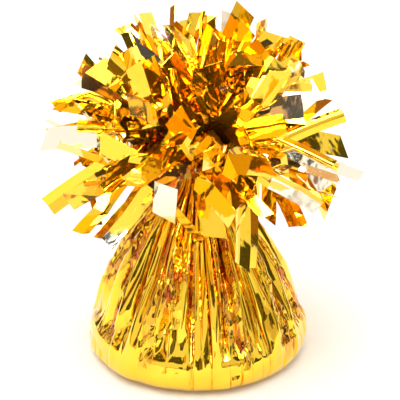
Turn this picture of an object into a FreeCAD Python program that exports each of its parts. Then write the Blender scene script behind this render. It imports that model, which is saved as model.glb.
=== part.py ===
import FreeCAD, Part

# A foil balloon weight. A cement casting in a shallow tub is wrapped in two sheets of gold film.
# The sheets are drawn up into a cone, tied at the neck with a twist tie, and their edges are slit
# into strips that burst out above the tie. Millimetres, +Z up, origin on the floor under the tub.

import math
import os

import Sketcher
from FreeCAD import Placement, Rotation, Vector

# alias, value, what it is
SIZES = [
    ("tub_d", 75.0, "tub, outside of its wall"),
    ("tub_height", 8.0, "tub, floor to lip"),
    ("tub_wall", 0.9, "tub wall and floor"),
    ("tub_corner_r", 4.5, "tub, outside radius where wall meets floor"),
    ("lip_w", 0.8, "tub lip, how far it stands out"),
    ("lip_h", 1.0, "tub lip, its height"),
    ("crown_h", 24.0, "casting, rise of its domed top above the tub"),
    ("crown_edge", 2.0, "casting, flat ring between the tub and the dome"),
    ("film_t", 0.3, "one gathered ply of film as modelled, wrinkles included"),
    ("ply_gap", 0.1, "clearance between the plies, and between tub lip and film"),
    ("shoulder_rise", 0.9, "how far above the tub the film turns in towards the neck"),
    ("neck_z", 68.0, "height where the cone of film meets the neck"),
    ("cone_bulge", 4.0, "how far the cone of film swells past a straight line"),
    ("neck_h", 8.0, "length of the tied neck"),
    ("neck_d", 15.0, "outside of the neck"),
    ("core_d", 8.6, "inner sheet's bundle within the neck"),
    ("pleat_count", 36, "pleats round the outer sheet"),
    ("pleat_low_h", 0.4, "pleat, how far it stands out at the shoulder"),
    ("pleat_mid_h", 0.8, "pleat, how far it stands out halfway up"),
    ("pleat_high_h", 1.1, "pleat, how far it stands out at the neck"),
    ("pleat_low_w", 5.0, "pleat, width at the shoulder"),
    ("pleat_mid_w", 3.0, "pleat, width halfway up"),
    ("pleat_high_w", 1.1, "pleat, width at the neck"),
    ("pleat_sink", 0.15, "pleat, how deep its root sits in the film"),
    ("tie_w", 3.5, "twist tie, width of the band"),
    ("tie_t", 1.4, "twist tie, thickness of the band"),
    ("tie_wire_d", 0.6, "twist tie, its steel wire"),
    ("tie_wire_gap", 0.05, "clearance between wire and sheath"),
    ("tail_strand_d", 1.5, "twist tie, each twisted strand"),
    ("tail_pitch", 7.0, "twist tie, one turn of the twist"),
    ("tail_length", 14.0, "twist tie, the twisted tail"),
    ("strip_w", 8.0, "fringe strip, full width"),
    ("strip_root_w", 1.0, "fringe strip, width where it is pinched in the neck"),
    ("strip_t", 0.25, "fringe strip, thickness as modelled"),
    ("strip_len", 53.0, "fringe strip, from the neck to its cut end"),
    ("flare_ratio", 2.5, "fringe strip, how many widths it takes to open to full width"),
    ("bend_r", 3.0, "fringe strip, bend as it leaves the neck"),
    ("ring_edge", 0.5, "fringe, outermost ring's distance inside the neck"),
    ("ring_core_gap", 0.3, "fringe, distance of the rings beside the inner bundle's edge from it"),
    ("ring_centre_r", 1.0, "fringe, radius of the innermost ring of roots"),
    ("stem_first", 0.8, "fringe, upright stem of the outermost ring"),
    ("stem_step", 0.75, "fringe, how much longer each stem is than the last"),
]

# Rings of strips from the lowest outwards to the upright centre: strips in it, rise of the
# strips above level where they leave the neck, and how far they then droop, in degrees.
RINGS = [
    (12, -17, 26),
    (12, -8, 22),
    (12, 2, 20),
    (12, 11, 18),
    (12, 20, 17),
    (12, 29, 16),
    (12, 38, 14),
    (12, 47, 12),
    (6, 57, 12),
    (6, 67, 10),
    (3, 77, 8),
]
# The first rings are the outer sheet's strips and stand on its bunched collar.
OUTER_RINGS = 5
# Nodes of the fringe: name, first ring, last ring, nodes round the neck.
FRINGE = [
    ("fringe_low", 0, 2, 12),
    ("fringe_mid", 3, 4, 12),
    ("fringe_high", 5, 7, 12),
    ("fringe_crown", 8, 9, 6),
    ("fringe_peak", 10, 10, 3),
]
FRONT = -90.0
FRONT_LIFT = 26.0
RISE_SCATTER = 1.5
TURN_SCATTER = 2.5
LENGTH_SCATTER = 3.0
TAIL_AZIMUTH = 55.0
TAIL_DIP = 35.0

doc = FreeCAD.newDocument("foil_balloon_weight")
sizes = doc.addObject("Spreadsheet::Sheet", "sizes")
for line, (alias, value, meaning) in enumerate(SIZES, start=1):
    sizes.set(f"A{line}", meaning)
    sizes.set(f"B{line}", str(value))
    sizes.setAlias(f"B{line}", alias)
doc.recompute()

# Measures that several pieces share, as formulas of the sheet's cells.
PLY_ONE_TOP = "sizes.film_t"
PLY_TWO_TOP = "(2 * sizes.film_t)"
TUB_TOP = f"({PLY_TWO_TOP} + sizes.tub_height)"
SHOULDER_Z = f"({TUB_TOP} + sizes.shoulder_rise)"
TUB_R = "(sizes.tub_d / 2)"
INNER_FILM_R = f"({TUB_R} + sizes.lip_w + sizes.ply_gap + sizes.film_t)"
OUTER_FILM_R = f"({INNER_FILM_R} + sizes.ply_gap + sizes.film_t)"
FILM_CORNER_R = "(sizes.tub_corner_r + sizes.lip_w)"
NECK_R = "(sizes.neck_d / 2)"
CORE_R = "(sizes.core_d / 2)"
NECK_TOP = "(sizes.neck_z + sizes.neck_h)"
TIE_Z = "(sizes.neck_z + sizes.neck_h / 2)"


def measure(formula):
    """A formula's value as a plain number."""
    found = sizes.evalExpression(formula)
    return float(getattr(found, "Value", found))


def scatter(number, step):
    """An even spread of values from -1 to 1 that looks irregular from one number to the next."""
    return 2.0 * math.fmod((number + 1) * step, 1.0) - 1.0


def cone_side(low_r, high_r):
    """Radius of the arc that swells by the bulge between the shoulder and the neck."""
    chord_squared = f"(({low_r} - {high_r}) ^ 2 + (sizes.neck_z - {SHOULDER_Z}) ^ 2)"
    return f"({chord_squared} / (8 * sizes.cone_bulge) + sizes.cone_bulge / 2)"


def new_body(name):
    body = doc.addObject("PartDesign::Body", name)
    body.Label = name
    return body


def plane(body, role):
    return next(f for f in body.Origin.OriginFeatures if f.Role == role)


def new_sketch(body, name, role, offset=None):
    """A sketch on one of the body's own origin planes, moved from it by offset."""
    sketch = body.newObject("Sketcher::SketchObject", name)
    sketch.AttachmentSupport = [(plane(body, role), "")]
    sketch.MapMode = "FlatFace"
    if offset is not None:
        sketch.AttachmentOffset = offset
    return sketch


def arc_between(start, end, radius, clockwise):
    """The shorter arc from start to end. Its centre is on the right of the way if clockwise."""
    middle = (start + end) / 2
    half = (end - start).Length / 2
    along = (end - start).normalize()
    across = Vector(along.y, -along.x, 0) if clockwise else Vector(-along.y, along.x, 0)
    centre = middle + across * math.sqrt(max(radius**2 - half**2, 0.0))
    first = math.atan2(start.y - centre.y, start.x - centre.x)
    last = math.atan2(end.y - centre.y, end.x - centre.x)
    circle = Part.Circle(centre, Vector(0, 0, 1), radius)
    if clockwise:
        return Part.ArcOfCircle(circle, last, first)
    return Part.ArcOfCircle(circle, first, last)


def draw_outline(sketch, outline):
    """A closed outline in the sketch, every corner held by formulas of the sheet's cells.

    Each entry is (across, up) for a corner reached in a straight line, or
    (across, up, radius, clockwise) for one reached along an arc.
    """
    corners = [Vector(measure(entry[0]), measure(entry[1]), 0) for entry in outline]
    starts = []
    ends = []
    for place, entry in enumerate(outline):
        here, before = corners[place], corners[place - 1]
        if len(entry) == 4:
            radius, clockwise = entry[2], entry[3]
            edge = sketch.addGeometry(arc_between(before, here, measure(radius), clockwise))
            starts.append((edge, 2 if clockwise else 1))
            ends.append((edge, 1 if clockwise else 2))
            held = sketch.addConstraint(Sketcher.Constraint("Radius", edge, measure(radius)))
            sketch.setExpression(f"Constraints[{held}]", radius)
        else:
            edge = sketch.addGeometry(Part.LineSegment(before, here))
            starts.append((edge, 1))
            ends.append((edge, 2))
    for place, entry in enumerate(outline):
        after = starts[(place + 1) % len(outline)]
        sketch.addConstraint(Sketcher.Constraint("Coincident", *ends[place], *after))
        for kind, formula in (("DistanceX", entry[0]), ("DistanceY", entry[1])):
            value = measure(formula)
            held = sketch.addConstraint(Sketcher.Constraint(kind, -1, 1, *ends[place], value))
            sketch.setExpression(f"Constraints[{held}]", formula)


def revolve(body, sketch):
    """A full turn of the sketch about its own vertical axis."""
    turned = body.newObject("PartDesign::Revolution", body.Name + "_turned")
    turned.Profile = sketch
    turned.ReferenceAxis = (sketch, ["V_Axis"])
    turned.Angle = 360
    return turned


def turned_body(name, outline):
    body = new_body(name)
    sketch = new_sketch(body, name + "_profile", "XZ_Plane")
    draw_outline(sketch, outline)
    revolve(body, sketch)
    return body


def weight_tub():
    """Shallow moulded tub with a rounded bottom edge and a stiffening lip."""
    inside_r = f"({TUB_R} - sizes.tub_wall)"
    inside_z = f"({PLY_TWO_TOP} + sizes.tub_wall)"
    corner = "sizes.tub_corner_r"
    inside_corner = "(sizes.tub_corner_r - sizes.tub_wall)"
    lip_bottom = f"({TUB_TOP} - sizes.lip_h)"
    return turned_body(
        "weight_tub",
        [
            ("0", PLY_TWO_TOP),
            (f"{TUB_R} - {corner}", PLY_TWO_TOP),
            (TUB_R, f"{PLY_TWO_TOP} + {corner}", corner, False),
            (TUB_R, lip_bottom),
            (f"{TUB_R} + sizes.lip_w", lip_bottom),
            (f"{TUB_R} + sizes.lip_w", TUB_TOP),
            (inside_r, TUB_TOP),
            (inside_r, f"{inside_z} + {inside_corner}"),
            (f"{inside_r} - {inside_corner}", inside_z, inside_corner, True),
            ("0", inside_z),
        ],
    )


def cast_weight():
    """Cement casting that fills the tub and is crowned above it, as it was poured."""
    side_r = f"({TUB_R} - sizes.tub_wall)"
    floor_z = f"({PLY_TWO_TOP} + sizes.tub_wall)"
    corner = "(sizes.tub_corner_r - sizes.tub_wall)"
    dome_r = f"({side_r} - sizes.crown_edge)"
    sphere_r = f"(({dome_r} ^ 2 + sizes.crown_h ^ 2) / (2 * sizes.crown_h))"
    return turned_body(
        "cast_weight",
        [
            ("0", floor_z),
            (f"{side_r} - {corner}", floor_z),
            (side_r, f"{floor_z} + {corner}", corner, False),
            (side_r, TUB_TOP),
            (dome_r, TUB_TOP),
            ("0", f"{TUB_TOP} + sizes.crown_h", sphere_r, False),
        ],
    )


def inner_wrap():
    """Inner sheet of film: a closed cone over the weight, bunched solid within the neck."""
    low, high = PLY_ONE_TOP, PLY_TWO_TOP
    core_inside_r = f"({CORE_R} - sizes.film_t)"
    inside_r = f"({INNER_FILM_R} - sizes.film_t)"
    inside_corner = f"({FILM_CORNER_R} - sizes.film_t)"
    return turned_body(
        "inner_wrap",
        [
            ("0", low),
            (f"{INNER_FILM_R} - {FILM_CORNER_R}", low),
            (INNER_FILM_R, f"{low} + {FILM_CORNER_R}", FILM_CORNER_R, False),
            (INNER_FILM_R, SHOULDER_Z),
            (CORE_R, "sizes.neck_z", cone_side(INNER_FILM_R, CORE_R), False),
            (CORE_R, NECK_TOP),
            ("0", NECK_TOP),
            ("0", "sizes.neck_z"),
            (core_inside_r, "sizes.neck_z"),
            (inside_r, SHOULDER_Z, cone_side(inside_r, core_inside_r), True),
            (inside_r, f"{high} + {inside_corner}"),
            (f"{inside_r} - {inside_corner}", high, inside_corner, True),
            ("0", high),
        ],
    )


def pleat_section(body, name, height, radius, width, stand):
    """One pleat's triangle at a height, its root sunk into the film."""
    offset = Placement(Vector(0, 0, measure(height)), Rotation())
    sketch = new_sketch(body, name, "XY_Plane", offset)
    sketch.setExpression(".AttachmentOffset.Base.z", height)
    root = f"{radius} - sizes.pleat_sink"
    draw_outline(
        sketch,
        [
            (root, f"-{width} / 2"),
            (f"{radius} + {stand}", "0"),
            (root, f"{width} / 2"),
        ],
    )
    return sketch


def outer_wrap():
    """Outer sheet of film: cone with pleats from shoulder to neck, and a bunched collar."""
    inside_r = f"({OUTER_FILM_R} - sizes.film_t)"
    inside_corner = f"({FILM_CORNER_R} - sizes.film_t)"
    collar_r = f"({CORE_R} + sizes.ply_gap)"
    neck_inside_r = f"({NECK_R} - sizes.film_t)"
    body = turned_body(
        "outer_wrap",
        [
            ("0", "0"),
            (f"{OUTER_FILM_R} - {FILM_CORNER_R}", "0"),
            (OUTER_FILM_R, FILM_CORNER_R, FILM_CORNER_R, False),
            (OUTER_FILM_R, SHOULDER_Z),
            (NECK_R, "sizes.neck_z", cone_side(OUTER_FILM_R, NECK_R), False),
            (NECK_R, NECK_TOP),
            (collar_r, NECK_TOP),
            (collar_r, "sizes.neck_z"),
            (neck_inside_r, "sizes.neck_z"),
            (inside_r, SHOULDER_Z, cone_side(inside_r, neck_inside_r), True),
            (inside_r, f"{PLY_ONE_TOP} + {inside_corner}"),
            (f"{inside_r} - {inside_corner}", PLY_ONE_TOP, inside_corner, True),
            ("0", PLY_ONE_TOP),
        ],
    )
    # The middle of the bulged side, a bulge away from the middle of the straight line.
    drop = f"({OUTER_FILM_R} - {NECK_R})"
    climb = f"(sizes.neck_z - {SHOULDER_Z})"
    straight = f"(sqrt({drop} ^ 2 + {climb} ^ 2))"
    middle_r = f"(({OUTER_FILM_R} + {NECK_R}) / 2 + sizes.cone_bulge * {climb} / {straight})"
    middle_z = f"(({SHOULDER_Z} + sizes.neck_z) / 2 + sizes.cone_bulge * {drop} / {straight})"
    pleat = body.newObject("PartDesign::AdditiveLoft", "pleat")
    pleat.Profile = pleat_section(
        body, "pleat_low", SHOULDER_Z, OUTER_FILM_R, "sizes.pleat_low_w", "sizes.pleat_low_h"
    )
    pleat.Sections = [
        pleat_section(
            body, "pleat_mid", middle_z, middle_r, "sizes.pleat_mid_w", "sizes.pleat_mid_h"
        ),
        pleat_section(
            body, "pleat_high", "sizes.neck_z", NECK_R, "sizes.pleat_high_w", "sizes.pleat_high_h"
        ),
    ]
    doc.recompute()
    around = body.newObject("PartDesign::PolarPattern", "pleats")
    around.Originals = [pleat]
    around.Axis = (plane(body, "Z_Axis"), [""])
    around.Angle = 360
    around.setExpression("Occurrences", "sizes.pleat_count")
    body.Tip = around
    return body


def tail_frame():
    """The twist tie's tail: it leaves the band outwards and dips beside the cone of film."""
    azimuth = math.radians(TAIL_AZIMUTH)
    reach = measure(f"{NECK_R} + sizes.tie_t / 2")
    start = Vector(reach * math.cos(azimuth), reach * math.sin(azimuth), measure(TIE_Z))
    turn = Rotation(Vector(0, 0, 1), TAIL_AZIMUTH)
    return Placement(start, turn.multiply(Rotation(Vector(0, 1, 0), 90 + TAIL_DIP)))


def twisted_pair(name, diameter, length):
    """Two strands twisted round each other, as a pair of helical sweeps."""
    strands = []
    for number, start in enumerate((90, 270)):
        spine = doc.addObject("Part::Helix", f"{name}_spine_{number}")
        spine.setExpression("Pitch", "sizes.tail_pitch")
        spine.setExpression("Height", length)
        spine.setExpression("Radius", "sizes.tail_strand_d / 2")
        spine.Placement = tail_frame().multiply(Placement(Vector(), Rotation(start, 0, 0)))
        ring = doc.addObject("Part::Circle", f"{name}_section_{number}")
        ring.setExpression("Radius", f"{diameter} / 2")
        doc.recompute()
        begin = spine.Shape.Edges[0]
        tangent = begin.tangentAt(begin.FirstParameter)
        ring.Placement = Placement(
            begin.valueAt(begin.FirstParameter), Rotation(Vector(0, 0, 1), tangent)
        )
        strand = doc.addObject("Part::Sweep", f"{name}_strand_{number}")
        strand.Sections = [ring]
        strand.Spine = (spine, ["Edge1"])
        strand.Solid = True
        strand.Frenet = True
        strands.append(strand)
    return strands


def disc(name, radius, height):
    """A plain cylinder round the neck's axis, centred on the tie's height."""
    found = doc.addObject("Part::Cylinder", name)
    found.setExpression("Radius", radius)
    found.setExpression("Height", height)
    found.setExpression(".Placement.Base.z", f"{TIE_Z} - {height} / 2")
    return found


def wire_shape(name, diameter, length):
    """The wire's course: once round the neck within the band, and out along both strands."""
    loop = doc.addObject("Part::Torus", f"{name}_loop")
    loop.setExpression("Radius1", f"{NECK_R} + sizes.tie_t / 2")
    loop.setExpression("Radius2", f"{diameter} / 2")
    loop.setExpression(".Placement.Base.z", TIE_Z)
    joined = doc.addObject("Part::MultiFuse", name)
    joined.Shapes = [loop, *twisted_pair(name, diameter, length)]
    joined.Refine = False
    joined.Label = name
    return joined


def twist_tie():
    """Twist tie: a steel wire in a flat plastic sheath, closed round the neck and twisted."""
    wire = wire_shape("tie_wire", "sizes.tie_wire_d", "sizes.tail_length")
    channel = wire_shape(
        "tie_channel",
        "(sizes.tie_wire_d + 2 * sizes.tie_wire_gap)",
        "(sizes.tail_length + sizes.tie_wire_gap)",
    )
    band = disc("tie_band", f"{NECK_R} + sizes.tie_t", "sizes.tie_w")
    outside = doc.addObject("Part::MultiFuse", "tie_outside")
    outside.Shapes = [band, *twisted_pair("tie_tail", "sizes.tail_strand_d", "sizes.tail_length")]
    inside = doc.addObject("Part::MultiFuse", "tie_inside")
    inside.Shapes = [disc("tie_hole", NECK_R, "sizes.neck_h"), channel]
    sheath = doc.addObject("Part::Cut", "tie_sheath")
    sheath.Label = "tie_sheath"
    sheath.Base = outside
    sheath.Tool = inside
    return [wire, sheath]


def ring_radius(ring):
    """Radius of a ring of roots: the outer sheet's on its collar, the inner sheet's on its core."""
    if ring < OUTER_RINGS:
        outside = f"({NECK_R} - sizes.ring_edge)"
        inside = f"({CORE_R} + sizes.ring_core_gap)"
        share = ring / (OUTER_RINGS - 1)
    else:
        outside = f"({CORE_R} - sizes.ring_core_gap)"
        inside = "sizes.ring_centre_r"
        share = (ring - OUTER_RINGS) / (len(RINGS) - 1 - OUTER_RINGS)
    return f"({outside} + ({inside} - {outside}) * {share})"


def strip_body(name, ring, place):
    """One strip of the fringe, pinched at its root, bent out of the neck and drooping."""
    count, rise, droop = RINGS[ring]
    number = sum(entry[0] for entry in RINGS[:ring]) + place
    azimuth = 360.0 * (place + 0.5 * (ring % 2)) / count + TURN_SCATTER * scatter(number, 0.755)
    facing = max(math.cos(math.radians(azimuth - FRONT)), 0.0)
    lift = FRONT_LIFT * facing * (1.0 - ring / (len(RINGS) - 1))
    turn = 90.0 - (rise + lift + RISE_SCATTER * scatter(number, 0.618))
    middle = 90.0 - turn - droop / 2
    longer = LENGTH_SCATTER * scatter(number, 0.414)

    stem = f"(sizes.stem_first + {ring} * sizes.stem_step)"
    run = f"(sizes.strip_len + {longer:.3f} - {stem} - sizes.bend_r * {math.radians(turn):.5f})"
    run_r = f"({run} / {math.radians(droop):.5f})"
    bend_end = (
        f"(sizes.bend_r * (1 - cos({turn:.3f})))",
        f"({stem} + sizes.bend_r * sin({turn:.3f}))",
    )

    def face(offset):
        """Root, stem top, bend end and cut end of the face that lies offset from the middle."""
        bend_r = f"(sizes.bend_r + {offset})"
        long_r = f"({run_r} + {offset})"
        centre = (
            f"(sizes.bend_r + ({run_r} - sizes.bend_r) * cos({turn:.3f}))",
            f"({stem} - ({run_r} - sizes.bend_r) * sin({turn:.3f}))",
        )
        tip = turn + droop
        return [
            (f"-({offset})", "0"),
            (f"-({offset})", stem),
            (
                f"sizes.bend_r - {bend_r} * cos({turn:.3f})",
                f"{stem} + {bend_r} * sin({turn:.3f})",
                bend_r,
            ),
            (
                f"{centre[0]} - {long_r} * cos({tip:.3f})",
                f"{centre[1]} + {long_r} * sin({tip:.3f})",
                long_r,
            ),
        ]

    top = face("sizes.strip_t / 2")
    under = face("(-sizes.strip_t / 2)")
    body = new_body(name)
    side = new_sketch(body, name + "_side", "XZ_Plane")
    draw_outline(
        side,
        [
            top[0],
            top[1],
            (*top[2], True),
            (*top[3], True),
            under[3][:2],
            (*under[2][:2], under[3][2], False),
            (*under[1], under[2][2], False),
            under[0],
        ],
    )
    pad = body.newObject("PartDesign::Pad", name + "_pad")
    pad.Profile = side
    pad.SideType = "Symmetric"
    pad.setExpression("Length", "sizes.strip_w")

    # Seen square to the strip, its two edges close in on the pinched root.
    tilted = Placement(Vector(), Rotation(Vector(0, 1, 0), -middle))
    plan = new_sketch(body, name + "_plan", "XY_Plane", tilted)
    begin = f"({bend_end[0]} * cos({middle:.3f}) + {bend_end[1]} * sin({middle:.3f}))"
    flared = f"({begin} + sizes.flare_ratio * sizes.strip_w)"
    for sign in ("", "-"):
        draw_outline(
            plan,
            [
                ("-sizes.strip_len", f"{sign}sizes.strip_root_w / 2"),
                (begin, f"{sign}sizes.strip_root_w / 2"),
                (flared, f"{sign}sizes.strip_w / 2"),
                (flared, f"{sign}sizes.strip_w"),
                ("-sizes.strip_len", f"{sign}sizes.strip_w"),
            ],
        )
    pocket = body.newObject("PartDesign::Pocket", name + "_pinch")
    pocket.Profile = plan
    pocket.Type = "ThroughAll"
    pocket.SideType = "Symmetric"
    body.Tip = pocket

    ring_r = ring_radius(ring)
    radius, height = measure(ring_r), measure(NECK_TOP)
    angle = math.radians(azimuth)
    body.Placement = Placement(
        Vector(radius * math.cos(angle), radius * math.sin(angle), height),
        Rotation(Vector(0, 0, 1), azimuth),
    )
    body.setExpression(".Placement.Base.x", f"{ring_r} * cos({azimuth:.3f})")
    body.setExpression(".Placement.Base.y", f"{ring_r} * sin({azimuth:.3f})")
    body.setExpression(".Placement.Base.z", NECK_TOP)
    return body


def fringe():
    """Bundles of neighbouring strips, each bundle a node of separate solids."""
    bundles = []
    for name, first, last, around in FRINGE:
        for sector in range(around):
            label = f"{name}_{sector + 1:02d}"
            strips = []
            for ring in range(first, last + 1):
                strips.append(strip_body(f"{label}_strip_{ring - first + 1}", ring, sector))
            bundle = doc.addObject("Part::Compound", label)
            bundle.Label = label
            bundle.Links = strips
            bundles.append(bundle)
    return bundles


def check_and_write(pieces):
    """Stops on a failed feature or a shape that isn't whole, then writes one file per piece."""
    doc.recompute()
    failed = [o.Name for o in doc.Objects if "Invalid" in o.State or "Error" in o.State]
    if failed:
        raise RuntimeError(f"these features failed: {failed}")
    os.makedirs("parts", exist_ok=True)
    total = 0.0
    for piece in pieces:
        shape = piece.Shape
        if shape.isNull() or not shape.isValid() or not shape.Solids:
            raise RuntimeError(f"{piece.Label} isn't a whole solid")
        shape.exportStep(os.path.join("parts", piece.Label + ".step"))
        total += shape.Volume
        if len(shape.Solids) == 1:
            print(f"{piece.Label}: {shape.Volume / 1000:.2f} cm3")
    print(f"{len(pieces)} nodes, {total / 1000:.1f} cm3 in all")


check_and_write(
    [weight_tub(), cast_weight(), inner_wrap(), outer_wrap(), *twist_tie(), *fringe()]
)
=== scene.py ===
# %% [markdown]
# # A foil balloon weight
#
# A cast weight sits in a shallow tub. Two sheets of gold film are drawn up round it into a
# pleated cone and tied at the neck with a twist tie. Their edges are slit into strips, which burst
# out above the tie. This notebook dresses the CAD model of that object: it keeps the tub, the
# casting and the tie, and remakes the film, which the CAD holds as plain plies. Lengths are in
# metres, as everywhere in Blender, and MM turns millimetres into them.

# %% Load the frame
import math
import random

import bmesh
import bpy
from mathutils import Matrix, Vector, noise


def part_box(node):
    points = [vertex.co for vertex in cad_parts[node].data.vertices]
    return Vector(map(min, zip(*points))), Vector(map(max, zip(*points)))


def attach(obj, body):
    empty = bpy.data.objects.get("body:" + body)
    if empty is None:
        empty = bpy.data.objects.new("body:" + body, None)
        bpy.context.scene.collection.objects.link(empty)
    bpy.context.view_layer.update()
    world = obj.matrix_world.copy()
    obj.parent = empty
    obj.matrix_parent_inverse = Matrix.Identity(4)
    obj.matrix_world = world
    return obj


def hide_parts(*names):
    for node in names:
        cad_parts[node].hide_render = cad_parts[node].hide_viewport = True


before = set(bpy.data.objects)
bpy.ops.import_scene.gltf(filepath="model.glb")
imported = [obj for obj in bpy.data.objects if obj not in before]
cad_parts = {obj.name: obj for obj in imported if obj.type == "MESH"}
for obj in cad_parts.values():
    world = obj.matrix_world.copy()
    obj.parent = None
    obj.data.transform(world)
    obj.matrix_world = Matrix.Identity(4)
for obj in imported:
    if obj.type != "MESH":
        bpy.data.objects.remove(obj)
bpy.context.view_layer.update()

MM = 0.001

# %% [markdown]
# ## Sizes
#
# The outer wrap's box gives the top of the neck, and the tub's box gives the lip that the film is
# drawn over. The other lengths are the designer's: the curves of the tub and of the casting that
# the film has to clear, how high the neck starts, how thick it is tied, and the size of a strip.

# %% Sizes from the frame and of the film
_, wrap_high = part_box("outer_wrap")
tub_low, tub_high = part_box("weight_tub")
TUB_TOP = tub_high.z
TUB_R = tub_high.x
TUB_CORNER_R = 4.5 * MM
LIP_W = 0.8 * MM
CROWN_EDGE = 2.0 * MM
CROWN_H = 22.0 * MM
BASE_R = 39.4 * MM
NECK_R = 7.5 * MM
NECK_Z = 68.0 * MM
NECK_TOP = wrap_high.z
FILM_T = 0.08 * MM
STRIP_W = 8.0 * MM
STRIP_LEN = 53.0 * MM
BEND_R = 3.0 * MM
print("neck from", round(NECK_Z / MM, 1), "to", round(NECK_TOP / MM, 1), "mm")
print("tub's lip", round(TUB_R / MM, 1), "mm from the axis,", round(TUB_TOP / MM, 1), "mm up")

# %% [markdown]
# ## How the sheet is gathered
#
# A flat sheet that is drawn up round a weight has far more edge than the neck has room for, so it
# folds. Each pleat here is one broad outer face, then a narrow fold that dives inwards and comes
# back under the next face. Its folds keep their places from the base to the neck, as they do on
# real film, because film creases in straight lines and can't stretch.

# %% Outline of the gathered bag, from the middle of its underside to the top of the neck
BAG_OUTLINE = [
    (0.0, 0.0), (8.0, 0.0), (16.0, 0.0), (24.0, 0.0), (30.0, 0.0), (33.4, 0.15), (35.6, 0.8),
    (37.3, 1.9), (38.6, 3.5), (39.3, 5.4), (39.6, 7.8), (39.4, 10.5), (38.7, 13.2),
    (37.8, 16.2), (36.7, 19.4), (35.4, 23.0), (33.8, 27.2), (32.0, 31.6), (29.8, 36.2),
    (27.3, 41.0), (24.6, 46.0), (21.6, 51.0), (18.4, 55.6), (15.0, 59.8), (11.7, 63.6),
    (8.9, 66.8), (7.6, 69.2), (7.5, 72.0), (7.6, 74.4), (7.0, 75.9),
]
ROWS_BETWEEN = 3


def smooth_outline(points, cuts):
    """The outline in metres, with cuts points on a smooth curve between its neighbours."""
    ends = [points[0], *points, points[-1]]
    fine = []
    for before, here, after, beyond in zip(ends, ends[1:], ends[2:], ends[3:]):
        for cut in range(cuts):
            t = cut / cuts
            fine.append(tuple(
                MM * 0.5 * (2 * b + (c - a) * t + (2 * a - 5 * b + 4 * c - d) * t**2
                            + (3 * b - a - 3 * c + d) * t**3)
                for a, b, c, d in zip(before, here, after, beyond)
            ))
    fine.append((MM * points[-1][0], MM * points[-1][1]))
    return fine


bag_outline = smooth_outline(BAG_OUTLINE, ROWS_BETWEEN)
print(len(bag_outline), "rows from the base's middle to the neck's top")

# %% [markdown]
# ## Pleats
#
# Pleats differ: some faces are broad and some narrow, some folds start at the tub and some only
# a third of the way up, and some pleats were crushed by hand. One list of random pleats is drawn
# once and both sheets follow it, because they were gathered together.

# %% Draw the pleats
PLEATS = 46
COLUMNS_PER_PLEAT = 12
COLUMNS = PLEATS * COLUMNS_PER_PLEAT
PLEAT_SEED = 21

draw = random.Random(PLEAT_SEED)
pleats = []
for number in range(PLEATS):
    pleats.append({
        "width": draw.choice((0.45, 0.7, 0.9, 1.1, 1.4, 1.8)) * draw.uniform(0.9, 1.1),
        "face_columns": draw.choice((5, 6, 7)),
        "tilt": draw.uniform(-1.0, 1.0),
        "start": draw.choice((0.0, 0.03, 0.08, 0.18, 0.32)) + draw.uniform(0.0, 0.05),
        "depth": draw.uniform(0.7, 1.25),
        "low": draw.choice((0.0, 0.3, 0.8, 1.2)),
        "tuck": draw.uniform(-0.12, 0.26),
        "crumple": draw.choice((0.0, 0.0, 0.0, 0.7, 1.0)),
        "smooth_to": draw.uniform(1.0, 15.0) * MM,
    })
whole = sum(pleat["width"] for pleat in pleats)
turned = 0.0
for pleat in pleats:
    pleat["from"] = turned / whole
    turned += pleat["width"]
    pleat["share"] = pleat["width"] / whole
print(PLEATS, "pleats,", COLUMNS, "columns of vertices")

# %% [markdown]
# ## What the film has to clear
#
# Inside are a tub with a rounded bottom edge and a lip, and a casting with a domed crown. The film
# may sag and fold, but never into them, so one function gives the least radius at each height.

# %% Clear of the tub and the casting
INNER_PLIES = 0.3 * MM
LIP_CLEAR = 0.25 * MM
CROWN_CLEAR = 0.6 * MM


def ramp(value, low, high):
    """0 below low, 1 above high, and a smooth climb between."""
    t = min(max((value - low) / (high - low), 0.0), 1.0)
    return t * t * (3 - 2 * t)


def inside_radius(height):
    """The least radius the film may have there, so that it clears the tub and the casting."""
    if height < tub_low.z + 0.2 * MM:
        return 0.0
    if height < TUB_TOP:
        drop = max(TUB_CORNER_R - (height - tub_low.z), 0.0)
        wall = TUB_R - LIP_W - TUB_CORNER_R + math.sqrt(TUB_CORNER_R**2 - drop**2)
        return wall + INNER_PLIES + LIP_W * ramp(height, 6 * MM, 7.2 * MM)
    dome = 1 - (height - TUB_TOP - CROWN_EDGE) / CROWN_H
    over_crown = (TUB_R - MM) * math.sqrt(min(max(dome, 0.0), 1.0)) + CROWN_CLEAR
    past_lip = ramp(height, TUB_TOP, TUB_TOP + 10 * MM)
    return (TUB_R + LIP_CLEAR) * (1 - past_lip) + over_crown * past_lip


for level in (5, 8, 20):
    print("film stays", round(inside_radius(level * MM) / MM, 1), "mm out at", level, "mm up")

# %% [markdown]
# ## Where each column of the sheet goes
#
# A pleat has 12 columns of vertices. The first 6 or so lie across its face, which leans a little to
# one side. The next run down to the floor of the fold and the last come back up, to meet the edge
# of the next face. Folds are shallow at the base and deepen towards the neck.

# %% Fold the pleats
SHOULDER_Z = 9.5 * MM
FACE_SHARE = 0.60
LEAN = 0.24
FOLD_DEPTH = 6.2 * MM
DEEPENS_OVER = 0.55
LOW_FOLD_DEPTH = 2.2 * MM
MOST_OF_RADIUS = 0.46
FACE_SINKS = 0.12


def climb(height):
    """How far up the cone a point is: 0 at the tub, 1 at the neck."""
    return min(max((height - SHOULDER_Z) / (NECK_Z - SHOULDER_Z), 0.0), 1.0)


def fold_depth(pleat, radius, height):
    """How deep a pleat's fold is at that place."""
    start = pleat["start"]
    wanted = FOLD_DEPTH * ramp(climb(height), start, start + DEEPENS_OVER) * pleat["depth"]
    wanted += LOW_FOLD_DEPTH * ramp(height, 0.2 * MM, 5 * MM) * pleat["depth"] * pleat["low"]
    return min(wanted, MOST_OF_RADIUS * radius)


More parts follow.
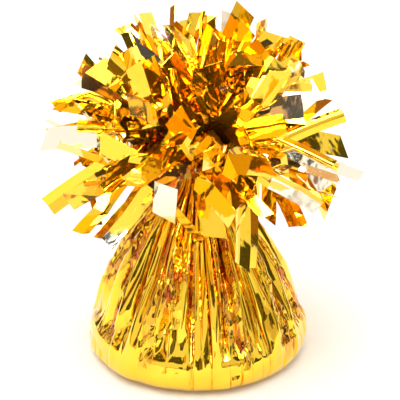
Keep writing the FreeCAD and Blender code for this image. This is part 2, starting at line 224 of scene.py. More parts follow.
def lean_across(pleat, radius, height):
    """How much deeper one edge of a pleat's face lies than the other."""
    width = pleat["share"] * math.tau * radius
    return LEAN * pleat["tilt"] * width * ramp(climb(height), 0.0, 0.3)


def pleated(column, radius, height):
    """Angle, as a share of a turn, and radius of the sheet's vertex in that column."""
    pleat = pleats[column // COLUMNS_PER_PLEAT % PLEATS]
    step = column % COLUMNS_PER_PLEAT
    face = pleat["face_columns"]
    floor = face + (COLUMNS_PER_PLEAT - face) // 2
    deep = fold_depth(pleat, radius, height)
    lean = lean_across(pleat, radius, height)
    gathered = ramp(climb(height), 0.0, 0.35)
    face_end = 1.0 - (1.0 - FACE_SHARE) * (0.55 + 0.45 * gathered)
    floor_at = 0.5 * (face_end + 1.0) + pleat["tuck"] * gathered
    if step <= face:
        t = step / face
        place, inwards = face_end * t, lean * (t - 0.5) + FACE_SINKS * deep
    elif step <= floor:
        t = (step - face) / (floor - face)
        place = face_end + (floor_at - face_end) * t
        inwards = (0.5 * lean + FACE_SINKS * deep) * (1 - t) + deep * t
    else:
        t = (step - floor) / (COLUMNS_PER_PLEAT - floor)
        following = pleats[(column // COLUMNS_PER_PLEAT + 1) % PLEATS]
        next_deep = fold_depth(following, radius, height)
        next_lean = lean_across(following, radius, height)
        place = floor_at + (1.0 - floor_at) * t
        inwards = deep * (1 - t) + (FACE_SINKS * next_deep - 0.5 * next_lean) * t
    return pleat["from"] + pleat["share"] * place, radius - inwards


deepest = max(fold_depth(pleat, 20 * MM, 50 * MM) for pleat in pleats)
print("folds are up to", round(deepest / MM, 1), "mm deep 50 mm up")

# %% [markdown]
# ## Crumple
#
# Film that has been handled is covered with small flat facets that meet in straight creases. A
# grid of random heights, with each cell split into two flat triangles, makes such a surface. Long
# cells give the shards that run down the cone, short ones the crushed patches. Each kind below says
# how high its facets are, how many go round the object, how long one is, and how much more it sinks
# in than it stands out, because film pulls inwards when it is crushed.

# %% Facets of crumpled film
SHARD = {"high": 2.4 * MM, "around": 58, "long": 22 * MM, "sunk": 0.4, "seed": 3}
SLIVER = {"high": 1.2 * MM, "around": 97, "long": 13 * MM, "sunk": 0.3, "seed": 4}
BASE_FLAT = {"high": 0.7 * MM, "around": 31, "long": 9 * MM, "sunk": 0.0, "seed": 10}
WRINKLE = {"high": 1.0 * MM, "around": 118, "long": 3.4 * MM, "sunk": 0.5, "seed": 6}
DENT = {"high": 3.0 * MM, "around": 64, "long": 6 * MM, "sunk": 0.5, "seed": 8}
CRUSHED_PATCH = {"high": 1.0, "around": 30, "long": 15 * MM, "sunk": 0.0, "seed": 5}
PRESSED_PATCH = {"high": 1.0, "around": 21, "long": 9 * MM, "sunk": 0.0, "seed": 7}
WANDER = {"high": 2.0 * MM, "around": 9, "long": 1.0, "sunk": 0.0, "seed": 9}  # same at any height


def facets(across, along, around, seed):
    """A height from -1 to 1 on flat triangles; the pattern closes after so many cells around."""
    i, j = math.floor(across), math.floor(along)
    a, b = across - i, along - j

    def corner(di, dj):
        return noise.cell(Vector(((i + di) % around + 0.5, j + dj + 0.5, seed + 0.5)))

    if a > b:
        return (1 - a) * corner(0, 0) + (a - b) * corner(1, 0) + b * corner(1, 1)
    return (1 - b) * corner(0, 0) + (b - a) * corner(0, 1) + a * corner(1, 1)


def crumple(kind, share, height, across=0.0, along=0.0):
    """That kind of facet at a share of a turn and a height, its pattern moved that many cells."""
    around = kind["around"]
    found = facets(share * around + across, height / kind["long"] + along, around, kind["seed"])
    return kind["high"] * (found - kind["sunk"])


print("a shard is", round(math.tau * BASE_R / SHARD["around"] / MM, 1), "mm across at the base")

# %% [markdown]
# ## Where the film is crumpled
#
# The sheet has shards everywhere but underneath. Round the shoulder are broad flats, because it is
# stretched over the tub there. Some pleats and some patches are crushed into small wrinkles, and a
# few places low on the cone were pressed in by a thumb.

# %% Dents of the bag
def low_down(height):
    """1 round the base's shoulder, falling to 0 at the underside and on the cone."""
    return ramp(height, 0.5 * MM, 3 * MM) * (1 - ramp(height, 14 * MM, 26 * MM))


def bag_dent(pleat, share, radius, height):
    """How far the film stands off its smooth pleat, and how crumpled it is, from 0 to 1."""
    body = ramp(height, 3 * MM, 22 * MM) * min(1.0, 1.5 * radius / BASE_R)
    off = body * crumple(SHARD, share, height, along=0.3)
    off += body * crumple(SLIVER, share, height, across=height / (60 * MM))
    off += low_down(height) * crumple(BASE_FLAT, share, height, along=0.4)
    patch = ramp(crumple(CRUSHED_PATCH, share, height), 0.42, 0.66)
    smooth_to = pleat["smooth_to"]
    crushed = max(pleat["crumple"], patch) * ramp(height, smooth_to, smooth_to + 7 * MM)
    off += crushed * crumple(WRINKLE, share, height)
    pressed = ramp(crumple(PRESSED_PATCH, share, height), 0.66, 0.76)
    pressed *= ramp(height, 3 * MM, 7 * MM) * (1 - ramp(height, 24 * MM, 30 * MM))
    off += pressed * crumple(DENT, share, height)
    return off, crushed


offsets = [bag_dent(pleats[0], step / 90, 30 * MM, 30 * MM)[0] / MM for step in range(90)]
print("30 mm up the film lies", round(min(offsets), 1), "to", round(max(offsets), 1), "mm off")

# %% [markdown]
# ## The two wraps
#
# Each sheet starts as its outline, spun into a smooth bag. Then every column of vertices is moved
# to its place in the pleats. A Solidify modifier gives the film a thickness. A cloth simulation
# would round off every crease, and metallised film keeps its creases sharp, so there is none: edges
# where two facets meet at more than a set angle are marked sharp instead.

# %% Spin a bag and gather it
SHEET_CREASE_DEG = 24
STANDS_OUT = 1.1 * MM


def finished_object(name, bm, materials, sharp_deg):
    """A mesh object from a bmesh, shaded smooth apart from creases sharper than that."""
    for face in bm.faces:
        face.smooth = True
    sharp = math.radians(sharp_deg)
    for edge in bm.edges:
        edge.smooth = len(edge.link_faces) == 2 and edge.calc_face_angle(0.0) < sharp
    mesh = bpy.data.meshes.new(name)
    bm.to_mesh(mesh)
    bm.free()
    made = bpy.data.objects.new(name, mesh)
    bpy.context.scene.collection.objects.link(made)
    for each in materials:
        mesh.materials.append(each)
    return made


def gathered_sheet(name, outline, inset, materials):
    """A sheet gathered round the weight, inset from the outermost film."""
    bm = bmesh.new()
    chain = [bm.verts.new((max(radius, 0.0), 0.0, height)) for radius, height in outline]
    edges = [bm.edges.new(pair) for pair in zip(chain, chain[1:])]
    bmesh.ops.spin(
        bm, geom=[*chain, *edges], cent=(0, 0, 0), axis=(0, 0, 1),
        angle=math.tau, steps=COLUMNS, use_merge=True,
    )
    bmesh.ops.remove_doubles(bm, verts=bm.verts, dist=0.001 * MM)
    bmesh.ops.recalc_face_normals(bm, faces=bm.faces)
    creased = bm.verts.layers.float.new("creased")
    for vert in bm.verts:
        radius = math.hypot(vert.co.x, vert.co.y)
        if radius < MM:
            continue
        height = vert.co.z
        column = round(math.atan2(vert.co.y, vert.co.x) / math.tau * COLUMNS) % COLUMNS
        share, folded = pleated(column, radius, height)
        height += low_down(height) * ramp(height, 1 * MM, 7 * MM) * crumple(WANDER, share, 0.0)
        angle = math.tau * share
        off, crushed = bag_dent(pleats[column // COLUMNS_PER_PLEAT], share, radius, height)
        # How deep the film lies in its fold. With the crush it marks where the film gets its
        # crinkle bump and a deeper colour painted as shade.
        fold_shade_depth = ramp(radius - folded, 0.8 * MM, 3.4 * MM)
        folded = min(max(folded + off, inside_radius(height)), radius + STANDS_OUT)
        vert[creased] = max(crushed, 0.8 * fold_shade_depth)
        vert.co.x = (folded - inset) * math.cos(angle)
        vert.co.y = (folded - inset) * math.sin(angle)
        vert.co.z = height
    made = finished_object(name, bm, materials, SHEET_CREASE_DEG)
    wall = made.modifiers.new("film", "SOLIDIFY")
    wall.thickness = FILM_T
    wall.offset = -1
    wall.use_even_offset = False
    return made


print("film", round(FILM_T / MM, 2), "mm thick, creased past", SHEET_CREASE_DEG, "degrees")

# %% [markdown]
# ## Tools for materials
#
# Colours are given as sRGB hex values, and one function turns them to the linear values that
# shaders take. One more adds a node to a tree, with its settings and its links.

# %% Colours and nodes
def linear(hex_colour):
    """An sRGB hex colour as the linear values that a shader takes."""
    values = [int(hex_colour[place:place + 2], 16) / 255 for place in (1, 3, 5)]
    curve = [v / 12.92 if v < 0.04045 else ((v + 0.055) / 1.055) ** 2.4 for v in values]
    return (*curve, 1.0)


def node(tree, kind, settings=None, sources=(), **links):
    """Adds a node with its settings. Sources link its inputs in order, links do it by name."""
    made = tree.nodes.new(kind)
    for name, value in (settings or {}).items():
        if name in made.inputs:
            made.inputs[name].default_value = value
        else:
            setattr(made, name, value)
    for place, source in enumerate(sources):
        if isinstance(source, float):
            made.inputs[place].default_value = source
        else:
            tree.links.new(source, made.inputs[place])
    for name, source in links.items():
        tree.links.new(source, made.inputs[name.replace("_", " ")])
    return made


def new_material(name):
    """A material with an empty tree, and that tree."""
    made = bpy.data.materials.new(name)
    made.use_nodes = True
    tree = made.node_tree
    tree.nodes.clear()
    return made, tree


print("middle grey is", round(linear("#808080")[0], 3), "in linear values")

# %% [markdown]
# ## Film
#
# The film is polyester, metallised with aluminium and lacquered a transparent yellow, so it
# mirrors what is round it and tints it gold. One reflection is bright yellow, a second in the same
# film is orange, a third red-brown. Most of it is lacquered on both faces. Where the lacquer is
# missing from one, that face is plain aluminium and mirrors white as white and black as black.
#
# Smooth film needs hardly any texture: its pleats and creases do the work. Crushed film has
# wrinkles far smaller than the mesh, so they are a bump pattern, laid only where the mesh says
# that it was crushed or lies deep in a fold. There the colour is also painted a deeper orange in
# patches: painted shade, standing in for light that bounces between the film's faces.
# Both patterns are stretched along the height, as wrinkles in a pulled film are.

# %% Film
CRINKLE_W = 1.55 * MM
SWELL_W = 6.2 * MM
SWELL_SHARE = 0.35
SHADE_PATCH_W = 3.0 * MM
STRETCH = (1.0, 1.0, 0.45)
BUMP_H = 1.0 * MM


def film_finish(name, colour, fold_shade_colour, roughness):
    """Metallised film: a mirror under clear lacquer, crinkled where crushed, with painted shade
    there.

    To the eye it is never one colour: each flat part is as bright as what it mirrors.
    """
    made, tree = new_material(name)
    object_place = node(tree, "ShaderNodeTexCoord").outputs["Object"]
    stretched = node(tree, "ShaderNodeMapping", {"Scale": STRETCH}, Vector=object_place)
    place = stretched.outputs["Vector"]
    crushed = node(tree, "ShaderNodeAttribute", {"attribute_name": "creased"}).outputs["Fac"]
    crinkle = node(tree, "ShaderNodeTexVoronoi", {"Scale": 1 / CRINKLE_W}, Vector=place)
    swell = node(tree, "ShaderNodeTexNoise", {"Scale": 1 / SWELL_W, "Detail": 2.0}, Vector=place)
    raised = node(
        tree, "ShaderNodeMath", {"operation": "MULTIPLY"}, [crinkle.outputs["Distance"], crushed]
    )
    relief = node(
        tree, "ShaderNodeMath", {"operation": "MULTIPLY_ADD"},
        [swell.outputs["Fac"], SWELL_SHARE, raised.outputs[0]],
    )
    bump = node(
        tree, "ShaderNodeBump", {"Strength": 0.36, "Distance": BUMP_H}, Height=relief.outputs[0]
    )
    # Patches where the film is crushed or deep in a fold take the second colour: painted shade.
    patches = node(tree, "ShaderNodeTexVoronoi", {"Scale": 1 / SHADE_PATCH_W}, Vector=place)
    pick = node(tree, "ShaderNodeSeparateColor", Color=patches.outputs["Color"])
    painted_shade_share = node(
        tree, "ShaderNodeMath", {"operation": "MULTIPLY"}, [pick.outputs["Red"], crushed]
    )
    tint = node(tree, "ShaderNodeMix", {"data_type": "RGBA"}, Factor=painted_shade_share.outputs[0])
    tint.inputs[6].default_value = linear(colour)
    tint.inputs[7].default_value = linear(fold_shade_colour)
    worn = node(
        tree, "ShaderNodeMapRange",
        {"From Min": 0.3, "From Max": 0.7, "To Min": roughness * 0.6, "To Max": roughness * 1.5},
        Value=swell.outputs["Fac"],
    )
    surface = node(
        tree, "ShaderNodeBsdfPrincipled",
        {"Metallic": 0.95, "Coat Weight": 0.7, "Coat Roughness": 0.03, "Coat IOR": 1.5},
        Base_Color=tint.outputs[2], Roughness=worn.outputs["Result"],
        Normal=bump.outputs["Normal"],
    )
    node(tree, "ShaderNodeOutputMaterial", Surface=surface.outputs["BSDF"])
    return made


# Each film's second colour is painted shade, laid in patches where it is crushed or deep in a fold.
gold_film = film_finish("gold_lacquered_film", "#FFD027", "#BE5205", 0.05)
silver_film = film_finish("bare_aluminised_film", "#FFF7E0", "#D8CFC2", 0.06)
print("finishes:", gold_film.name, "and", silver_film.name)

# %% Make both wraps
outer_sheet = gathered_sheet("outer_sheet", bag_outline, 0.0, [gold_film])
inner_rows = bag_outline[::2]
INNER_INSET = 0.55 * MM
INNER_RAISED = 0.3 * MM
inner_sheet = gathered_sheet("inner_sheet", inner_rows, INNER_INSET, [gold_film])
for vert in inner_sheet.data.vertices:
    vert.co.z = INNER_RAISED + vert.co.z * (NECK_TOP - INNER_RAISED) / NECK_TOP
print("wraps:", len(outer_sheet.data.polygons), "and", len(inner_sheet.data.polygons), "faces")

# %% [markdown]
# ## Strips
#
# The strips stand on rings round the neck's axis, in the same places as in the CAD. The lowest hang
# out over the cone, and each ring inside it rises more steeply. Each ring below is how many strips
# it has, how many degrees they rise, and how many degrees they droop by their ends. Those in front
# are lifted, because the burst is fuller there.

# %% Where the strips stand
RINGS = [
    (12, -17, 26), (12, -8, 22), (12, 2, 20), (12, 11, 18), (12, 20, 17), (12, 29, 16),
    (12, 38, 14), (12, 47, 12), (6, 57, 12), (6, 67, 10), (3, 77, 8),
]
FRINGE = [
    ("fringe_low", 0, 2, 12), ("fringe_mid", 3, 4, 12), ("fringe_high", 5, 7, 12),
    ("fringe_crown", 8, 9, 6), ("fringe_peak", 10, 10, 3),
]
FRONT = -90.0
FRONT_LIFT = 26.0
STEM_FIRST = 0.8 * MM
STEM_STEP = 0.75 * MM
RING_EDGE = 0.5 * MM
RING_STEP = 0.6 * MM


def scatter(number, step):
    """An even spread of values from -1 to 1 that looks irregular from one number to the next."""
    return 2.0 * math.fmod((number + 1) * step, 1.0) - 1.0


def strip_course(ring, place):
    """Azimuth, turn out of the neck, droop, stem, length and root radius of a strip."""
    count, rise, droop = RINGS[ring]
    number = sum(entry[0] for entry in RINGS[:ring]) + place
    azimuth = 360.0 * (place + 0.5 * (ring % 2)) / count + 2.5 * scatter(number, 0.755)
    facing = max(math.cos(math.radians(azimuth - FRONT)), 0.0)
    lift = FRONT_LIFT * facing * (1.0 - ring / (len(RINGS) - 1))
    turn = 90.0 - (rise + lift + 1.5 * scatter(number, 0.618))
    return {
        "azimuth": azimuth, "turn": turn, "droop": droop, "stem": STEM_FIRST + ring * STEM_STEP,
        "length": STRIP_LEN + 3.0 * MM * scatter(number, 0.414),
        "root": NECK_R - RING_EDGE - ring * RING_STEP,
    }


print(sum(ring[0] for ring in RINGS), "places for strips on", len(RINGS), "rings")

# %% [markdown]
# ## One strip
#
# A strip is a small grid of faces. It starts pinched and folded like a fan in the neck, where it
# was crushed, and opens to its full width. Its end is flat, with a sharp crease or two and now and
# then one edge folded over, so each flat part mirrors one patch of the room. Film isn't soft enough
# to curl, so the creases are kinks of one row, and between them the strip runs nearly straight.
#
# How each strip differs is drawn at random first. All angles are in degrees.

# %% How one strip was cut, twisted and creased
WIDTHS = (0.9, 0.96, 1.0, 1.0, 1.04, 1.04, 0.4)
MOST_ROLL = 85
MOST_YAW = 24
OUTER_KINK_ROWS = (6, 12)
INNER_KINK_ROWS = (2, 6)
HEMMED = (0, 0, 0, 0, -1, 1)
BACKED_SHARE = 0.28


def strip_manner(draw, course):
    """One strip's manner. In front they were pressed over in handling."""
    strong = draw.choice((0, 0, 1, 2))
    in_front = max(math.cos(math.radians(course["azimuth"] - FRONT)), 0.0)
    pressed = in_front * (course["turn"] < 85)
    wide = STRIP_W * draw.choice(WIDTHS)
    roll = draw.choice((-1, 1)) * draw.uniform(5, MOST_ROLL)
    yaw = draw.uniform(-MOST_YAW, MOST_YAW)
    outer_row = draw.randrange(*OUTER_KINK_ROWS)
    outer_kink = draw.choice((-1, 1)) * draw.uniform(6, 34) * (1 + strong)
    inner_row = draw.randrange(*INNER_KINK_ROWS)
    inner_kink = draw.uniform(-25, 25) + pressed * draw.choice((-1, 1)) * draw.uniform(5, 45)
    return {
        "wide": wide,
        "roll": roll,
        "yaw": yaw,
        "kinks": {outer_row: outer_kink, inner_row: inner_kink},
        "hem": draw.choice(HEMMED) * draw.uniform(50, 120),
        "slant": draw.uniform(-0.5, 0.5),
        "crush": draw.choice((0.4, 0.7, 1.0)),
        "backed": draw.random() < BACKED_SHARE,
    }


print("a strip is", round(STRIP_W / MM, 1), "by", round(STRIP_LEN / MM, 1), "mm")

# %% [markdown]
# ## The line of a strip
#
# A small walker carries three directions along the strip: the way on, the strip's width and its
# face. It climbs out of the neck, bends outwards, and then droops and veers as it goes. At each row
# it notes where it is and how the strip is turned there.

# %% Walk along a strip
STRIP_COLUMNS = 4
STRIP_ROWS = 20
BEND_ROWS = 4
RUN_ROWS = STRIP_ROWS - BEND_ROWS - 1
FLAT_FROM = 0.42
EARLY_DROOP = 1.6
LATE_DROOP = 0.57
IN_COLLAR = 0.6 * MM


def walk_strip(course, manner):
    """Each row's middle, width, face, way on, and share of the strip's run."""
    azimuth = math.radians(course["azimuth"])
    outwards = Vector((math.cos(azimuth), math.sin(azimuth), 0.0))
    way, across, face = Vector((0, 0, 1)), Vector((-outwards.y, outwards.x, 0)), -outwards
    here = outwards * course["root"] + Vector((0, 0, NECK_TOP - IN_COLLAR))
    turn = math.radians(course["turn"])
    run = course["length"] - course["stem"] - BEND_R * abs(turn)
    droop = math.radians(course["droop"])
    rows = []
    for row in range(STRIP_ROWS + 1):
        ran = row - BEND_ROWS - 1
        along = max(0.0, ran / RUN_ROWS)
        if row <= 1:
            step, bend = row * (course["stem"] + IN_COLLAR), 0.0
        elif ran <= 0:
            step, bend = BEND_R * abs(turn) / BEND_ROWS, turn / BEND_ROWS
        else:
            step = run / RUN_ROWS
            bend = droop / RUN_ROWS * (EARLY_DROOP if along < FLAT_FROM else LATE_DROOP)
        onwards = Matrix.Rotation(bend / 2, 3, across)
        way, face = onwards @ way, onwards @ face
        here = here + way * step
        way, face = onwards @ way, onwards @ face
        if ran > 0:
            veer = Matrix.Rotation(math.radians(manner["yaw"]) / RUN_ROWS, 3, face)
            way, across = veer @ way, veer @ across
        roll = Matrix.Rotation(math.radians(manner["roll"]) * ramp(along, 0.0, FLAT_FROM), 3, way)
        width_way, face_way = roll @ across, roll @ face
        if ran in manner["kinks"]:
            crease = Matrix.Rotation(math.radians(manner["kinks"][ran]), 3, width_way)
            way, across, face = crease @ way, crease @ across, crease @ face
        rows.append((here.copy(), width_way, face_way, way.copy(), along))
    return rows


example = walk_strip(strip_course(0, 0), {"yaw": 0, "roll": 0, "kinks": {}})
print("a plain strip of the lowest ring ends", round(example[-1][0].z / MM, 1), "mm up")

# %% [markdown]
# ## The strip's mesh
#
# bmesh.ops.create_grid makes a square grid, and each of its rows is moved to one row of the walk.
# Near the neck the columns stand alternately in front and behind, like a folded fan. Past that each
# vertex is dented at random where the strip was crushed, and hardly at all where it is flat.

# %% Lay the grid along the walk
PINCHED_W = 1.2 * MM
FAN_FOLD = 0.5 * MM
CRUSH_DENT = 0.9
FLAT_DENT = 0.03


def lay_strip(bm, creased, course, manner, draw):
    """Adds one strip to the bmesh as a grid of faces."""
    rows = walk_strip(course, manner)
    made = bmesh.ops.create_grid(bm, x_segments=STRIP_COLUMNS, y_segments=STRIP_ROWS, size=1.0)
    for vert in made["verts"]:
        row = round((vert.co.y + 1) / 2 * STRIP_ROWS)
        side = vert.co.x
        column = round((side + 1) / 2 * STRIP_COLUMNS)
        middle, width_way, face_way, onward, along = rows[row]
        opened = ramp(along, -0.05, 0.36)
        half = 0.5 * (PINCHED_W + (manner["wide"] - PINCHED_W) * opened)
        crushed = 1 - ramp(along, 0.12, FLAT_FROM + 0.1)
        fan = (1 if column % 2 else -1) * FAN_FOLD * (1 - opened)
        rough = CRUSH_DENT * crushed * opened * manner["crush"] + FLAT_DENT
        dent = draw.uniform(-1, 1) * rough * MM
        place, fold = side, 0.0
        if side * manner["hem"] > 0.6:
            angle = math.radians(abs(manner["hem"])) * opened
            place = math.copysign(0.5 + 0.5 * math.cos(angle), side)
            fold = 0.5 * math.sin(angle) * half
        slant = manner["slant"] * half * side * ramp(along, 0.8, 1.0)
        vert.co = middle + width_way * place * half + onward * slant
        vert.co += face_way * (fan + fold + dent)
        # The crushed root gets the crinkle bump and, in patches, a deeper colour painted as shade.
        vert[creased] = crushed
    if manner["backed"]:
        corners = set(made["verts"])
        for each in {face for vert in made["verts"] for face in vert.link_faces}:
            if corners.issuperset(each.verts):
                each.material_index = 1


print("each strip has", STRIP_COLUMNS, "by", STRIP_ROWS, "faces")

# %% [markdown]
# ## All the strips
#
# Each sheet's edge was about 740 mm round, which gives 92 strips of 8 mm, so both have about 185.
# The CAD has 111, each standing for one or two of them. Here the second ones are laid too, a
# little turned from the first. Strips of the same sector and rings make one piece, which stands for
# the CAD node of that name. The Solidify modifier gives each strip's back the next material along,
# so a strip that starts from the second slot has a silver back.

# %% Bundle the strips node by node
STRIP_CREASE_DEG = 9
ALWAYS_DOUBLE = 2
SPARSE_RINGS = 5
SPARSE_CHANCE = 0.4
DENSE_CHANCE = 0.8
STRIP_SEED = 6


def second_course(draw, course, ring):
    """The course of a strip that leaves the neck beside the first one."""
    second = dict(course)
    second["azimuth"] += draw.choice((-1, 1)) * draw.uniform(6, 20)
    facing = math.cos(math.radians(second["azimuth"] - FRONT))
    hangs = ring < ALWAYS_DOUBLE and facing < 0.8
    second["turn"] += draw.uniform(1, 15) if hangs else draw.uniform(-10, 5)
    second["length"] += draw.uniform(-4, 0) * MM
    return second


strip_draw = random.Random(STRIP_SEED)
strip_pieces = {}
laid = 0
for name, first, last, around in FRINGE:
    for sector in range(around):
        bm = bmesh.new()
        creased = bm.verts.layers.float.new("creased")
        for ring in range(first, last + 1):
            course = strip_course(ring, sector)
            lay_strip(bm, creased, course, strip_manner(strip_draw, course), strip_draw)
            laid += 1
            chance = SPARSE_CHANCE if ring < SPARSE_RINGS else DENSE_CHANCE
            if ring < ALWAYS_DOUBLE or strip_draw.random() < chance:
                second = second_course(strip_draw, course, ring)
                lay_strip(bm, creased, second, strip_manner(strip_draw, second), strip_draw)
                laid += 1
        label = f"{name}_{sector + 1:02d}"
        finishes = [gold_film, gold_film, silver_film]
        piece = finished_object(
            label.replace("fringe", "strips"), bm, finishes, STRIP_CREASE_DEG
        )
        wall = piece.modifiers.new("film", "SOLIDIFY")
        wall.thickness = FILM_T
        wall.offset = 0
        wall.material_offset = 1
        strip_pieces[label] = piece
print(laid, "strips in", len(strip_pieces), "bundles")

# %% [markdown]
# ## Tub, casting and tie
#
# These keep their CAD shapes, because film covers nearly all of them, and only their finish is
# made here. The tub is moulded polypropylene, the casting is poured cement, and the tie is a steel
# wire in a ribbon of plastic. Their patterns read Object coordinates and are sized in millimetres.

# %% Moulded plastic
def moulded_plastic(name, colour, roughness, grain_mm):
    """Moulded plastic: an even colour with a soft shine, dulled in spots by its mould's texture."""
    made, tree = new_material(name)
    place = node(tree, "ShaderNodeTexCoord").outputs["Object"]
    grain = node(
        tree, "ShaderNodeTexNoise", {"Scale": 1 / (grain_mm * MM), "Detail": 4.0}, Vector=place
    )
    bump = node(
        tree, "ShaderNodeBump", {"Strength": 0.3, "Distance": 0.05 * MM},
        Height=grain.outputs["Fac"],
    )
    worn = node(
        tree, "ShaderNodeMapRange", {"To Min": roughness - 0.06, "To Max": roughness + 0.08},
        Value=grain.outputs["Fac"],
    )
    surface = node(
        tree, "ShaderNodeBsdfPrincipled", {"Base Color": linear(colour), "IOR": 1.49},
        Roughness=worn.outputs["Result"], Normal=bump.outputs["Normal"],
    )
    node(tree, "ShaderNodeOutputMaterial", Surface=surface.outputs["BSDF"])
    return made


tub_plastic = moulded_plastic("moulded_polypropylene", "#ECECE8", 0.35, 1.2)
tie_plastic = moulded_plastic("gold_tie_plastic", "#E3AE24", 0.24, 0.6)
print("finishes:", tub_plastic.name, "and", tie_plastic.name)

# %% Poured cement
def poured_cement(name, mottle_mm, pit_mm):
    """Poured cement: matt and grey, with paler clouds and the pits that air bubbles leave."""
    made, tree = new_material(name)
    place = node(tree, "ShaderNodeTexCoord").outputs["Object"]
    mottle = node(
        tree, "ShaderNodeTexNoise", {"Scale": 1 / (mottle_mm * MM), "Detail": 8.0}, Vector=place
    )
    pits = node(tree, "ShaderNodeTexVoronoi", {"Scale": 1 / (pit_mm * MM)}, Vector=place)
    tint = node(tree, "ShaderNodeValToRGB", Fac=mottle.outputs["Fac"])
    tint.color_ramp.elements[0].color = linear("#8C877D")
    tint.color_ramp.elements[1].color = linear("#BDB8AC")
    depth = node(tree, "ShaderNodeMapRange", {"From Max": 0.25}, Value=pits.outputs["Distance"])
    bump = node(
        tree, "ShaderNodeBump", {"Strength": 0.6, "Distance": 0.3 * MM},
        Height=depth.outputs["Result"],
    )
    surface = node(
        tree, "ShaderNodeBsdfPrincipled", {"Roughness": 0.9},
        Base_Color=tint.outputs["Color"], Normal=bump.outputs["Normal"],
    )
    node(tree, "ShaderNodeOutputMaterial", Surface=surface.outputs["BSDF"])
    return made


cement = poured_cement("poured_cement", 7.0, 2.4)
print("finish:", cement.name)

# %% Drawn wire
def drawn_wire(name, mark_mm):
    """Drawn steel wire with a thin zinc coat: a grey metal, bright where the die polished it.

    The die's marks are finer than this on the real wire. They are drawn coarse enough to show.
    """
    made, tree = new_material(name)
    place = node(tree, "ShaderNodeTexCoord").outputs["Object"]
    drawn = node(
        tree, "ShaderNodeTexNoise", {"Scale": 1 / (mark_mm * MM), "Detail": 3.0}, Vector=place
    )
    worn = node(
        tree, "ShaderNodeMapRange", {"To Min": 0.28, "To Max": 0.5}, Value=drawn.outputs["Fac"]
    )
    surface = node(
        tree, "ShaderNodeBsdfPrincipled", {"Base Color": linear("#A9ABAD"), "Metallic": 1.0},
        Roughness=worn.outputs["Result"],
    )
    node(tree, "ShaderNodeOutputMaterial", Surface=surface.outputs["BSDF"])
    return made


steel = drawn_wire("drawn_steel_wire", 1.1)
print("finish:", steel.name)

# %% Finish the parts that stay as they are
kept = {
    "weight_tub": tub_plastic, "cast_weight": cement, "tie_sheath": tie_plastic,
    "tie_wire": steel,
}
for name, finish in kept.items():
    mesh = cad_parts[name].data
    mesh.materials.clear()
    mesh.materials.append(finish)
print("kept from the CAD:", ", ".join(kept))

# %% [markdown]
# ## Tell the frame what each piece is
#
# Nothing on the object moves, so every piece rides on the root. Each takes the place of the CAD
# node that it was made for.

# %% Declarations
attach(outer_sheet, "root")
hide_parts("outer_wrap")
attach(inner_sheet, "root")
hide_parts("inner_wrap")
for label, piece in strip_pieces.items():
    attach(piece, "root")
    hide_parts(label)
outer_strips, inner_strips = [], []
for label, piece in strip_pieces.items():
    outer = label.startswith(("fringe_low", "fringe_mid"))
    (outer_strips if outer else inner_strips).append(piece)
print("outer wrap with", len(outer_strips), "bundles, inner wrap with", len(inner_strips))

# %% [markdown]
# ## Floor
#
# A plain pale floor, wide enough that its edge is never seen.

# %% Floor
FLOOR_HALF = 3.0


def pale_floor():
    """A plain matt floor: it takes the object's shadow and shows nothing of its own."""
    bm = bmesh.new()
    bmesh.ops.create_grid(bm, x_segments=1, y_segments=1, size=FLOOR_HALF)
    made, tree = new_material("pale_floor")
    surface = node(
        tree, "ShaderNodeBsdfPrincipled", {"Base Color": linear("#F4F4F4"), "Roughness": 0.9}
    )
    node(tree, "ShaderNodeOutputMaterial", Surface=surface.outputs["BSDF"])
    floor = finished_object("floor", bm, [made], 30)
    print("floor", round(2 * FLOOR_HALF, 1), "m across")


pale_floor()

# %% [markdown]
# ## The room
#
# Mirrors show their surroundings, so the room is what colours the film. To the eye and to matt
# surfaces the world is plain white. To a mirror it is a room of flat panels, one in each cell of a
# Voronoi pattern: a panel's random value picks a stop of ROOM, from unlit gaps through brown and
# orange to white. Some of the panels overhead are lamps, far brighter than white. So each flat face
# of film reads as black, brown, orange, yellow or cream, as its neighbour may not.

# %% World
ROOM = [
    (0.00, (0.034, 0.030, 0.030)), (0.22, (0.05, 0.042, 0.036)), (0.29, (0.17, 0.10, 0.05)),
    (0.39, (0.32, 0.13, 0.05)), (0.48, (0.80, 0.42, 0.14)), (0.56, (0.70, 0.58, 0.46)),
    (0.65, (0.86, 0.81, 0.75)), (0.80, (1.0, 0.99, 0.97)),
]
PANELS = 3.3  # panels to one unit of direction
UNLIT_SHARE = 0.60
OVERHEAD = 0.68
LAMP_STRENGTH = 18.0


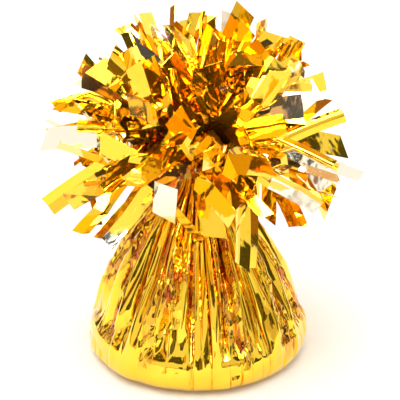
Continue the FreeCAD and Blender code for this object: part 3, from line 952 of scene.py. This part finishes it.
def studio_world():
    """White to the eye and to matt surfaces. Mirrors see a room of panels, dark gaps and lamps."""
    world = bpy.data.worlds.new("studio")
    world.use_nodes = True
    tree = world.node_tree
    tree.nodes.clear()
    way = node(tree, "ShaderNodeTexCoord").outputs["Generated"]
    panels = node(tree, "ShaderNodeTexVoronoi", {"Scale": PANELS, "Randomness": 1.0}, Vector=way)
    value = node(tree, "ShaderNodeSeparateColor", Color=panels.outputs["Color"])
    walls = node(tree, "ShaderNodeValToRGB", Fac=value.outputs["Red"])
    walls.color_ramp.interpolation = "CONSTANT"
    for stop, (position, colour) in zip(walls.color_ramp.elements, ROOM):
        stop.position, stop.color = position, (*colour, 1)
    for position, colour in ROOM[2:]:
        walls.color_ramp.elements.new(position).color = (*colour, 1)
    parts = node(tree, "ShaderNodeSeparateXYZ", Vector=way)
    lit = node(
        tree, "ShaderNodeMath", {"operation": "GREATER_THAN"},
        [value.outputs["Green"], UNLIT_SHARE],
    )
    high = node(
        tree, "ShaderNodeMath", {"operation": "GREATER_THAN"}, [parts.outputs["Z"], OVERHEAD]
    )
    lamps = node(
        tree, "ShaderNodeMath", {"operation": "MULTIPLY"}, [lit.outputs[0], high.outputs[0]]
    )
    glow = node(
        tree, "ShaderNodeBackground", {"Color": (1, 1, 1, 1), "Strength": LAMP_STRENGTH}
    )
    wall_light = node(tree, "ShaderNodeBackground", Color=walls.outputs["Color"])
    room = node(
        tree, "ShaderNodeMixShader", None,
        [lamps.outputs[0], wall_light.outputs[0], glow.outputs[0]],
    )
    plain = node(tree, "ShaderNodeBackground", {"Color": (1, 1, 1, 1), "Strength": 1.0})
    mirrored = node(tree, "ShaderNodeLightPath").outputs["Is Glossy Ray"]
    shown = node(
        tree, "ShaderNodeMixShader", None, [mirrored, plain.outputs[0], room.outputs[0]]
    )
    node(tree, "ShaderNodeOutputWorld", Surface=shown.outputs[0])
    bpy.context.scene.world = world
    print("the room has", len(ROOM), "kinds of panel, and lamps of strength", LAMP_STRENGTH)


studio_world()

# %% [markdown]
# ## Softbox
#
# One large, weak disc of light hangs high in front and to the left. It gives the floor a soft
# shadow, so that the weight stands on something.

# %% Softbox over the floor
SOFTBOX_AT = Vector((-0.3, -0.4, 1.7))
SOFTBOX_ACROSS = 1.6
SOFTBOX_WATTS = 17.0


def turned_to_origin(place):
    """The turn that points a lamp at that place at the origin."""
    return (-place).to_track_quat("-Z", "Y").to_euler()


def softbox():
    """The lamp over the floor."""
    data = bpy.data.lights.new("softbox", "AREA")
    data.shape = "DISK"
    data.size = SOFTBOX_ACROSS
    data.energy = SOFTBOX_WATTS
    lamp = bpy.data.objects.new("softbox", data)
    bpy.context.scene.collection.objects.link(lamp)
    lamp.location = SOFTBOX_AT
    lamp.rotation_euler = turned_to_origin(SOFTBOX_AT)
    print("softbox", round(SOFTBOX_AT.length, 2), "m away")


softbox()

# %% [markdown]
# ## Camera
#
# The camera looks down a little, from far enough away that the burst isn't stretched. The Standard
# view keeps the film's yellow as strong as it is; a filmic view would wash it out.

# %% Camera
bpy.context.scene.view_settings.view_transform = "Standard"
CAMERA_RISE = math.radians(25.0)
CAMERA_DISTANCE = 0.75
LENS = 191.0
AIM = Vector((1.06 * MM, 0.0, 58.0 * MM))


def place_camera():
    """The camera, straight in front of the object and above it."""
    data = bpy.data.cameras.new("camera")
    data.lens = LENS
    data.sensor_width = 36.0
    data.clip_start = 0.01
    camera = bpy.data.objects.new("camera", data)
    bpy.context.scene.collection.objects.link(camera)
    back = Vector((0.0, -math.cos(CAMERA_RISE), math.sin(CAMERA_RISE)))
    camera.location = AIM + back * CAMERA_DISTANCE
    camera.rotation_euler = (-back).to_track_quat("-Z", "Y").to_euler()
    bpy.context.scene.camera = camera
    print("camera at", [round(part, 3) for part in camera.location])


place_camera()
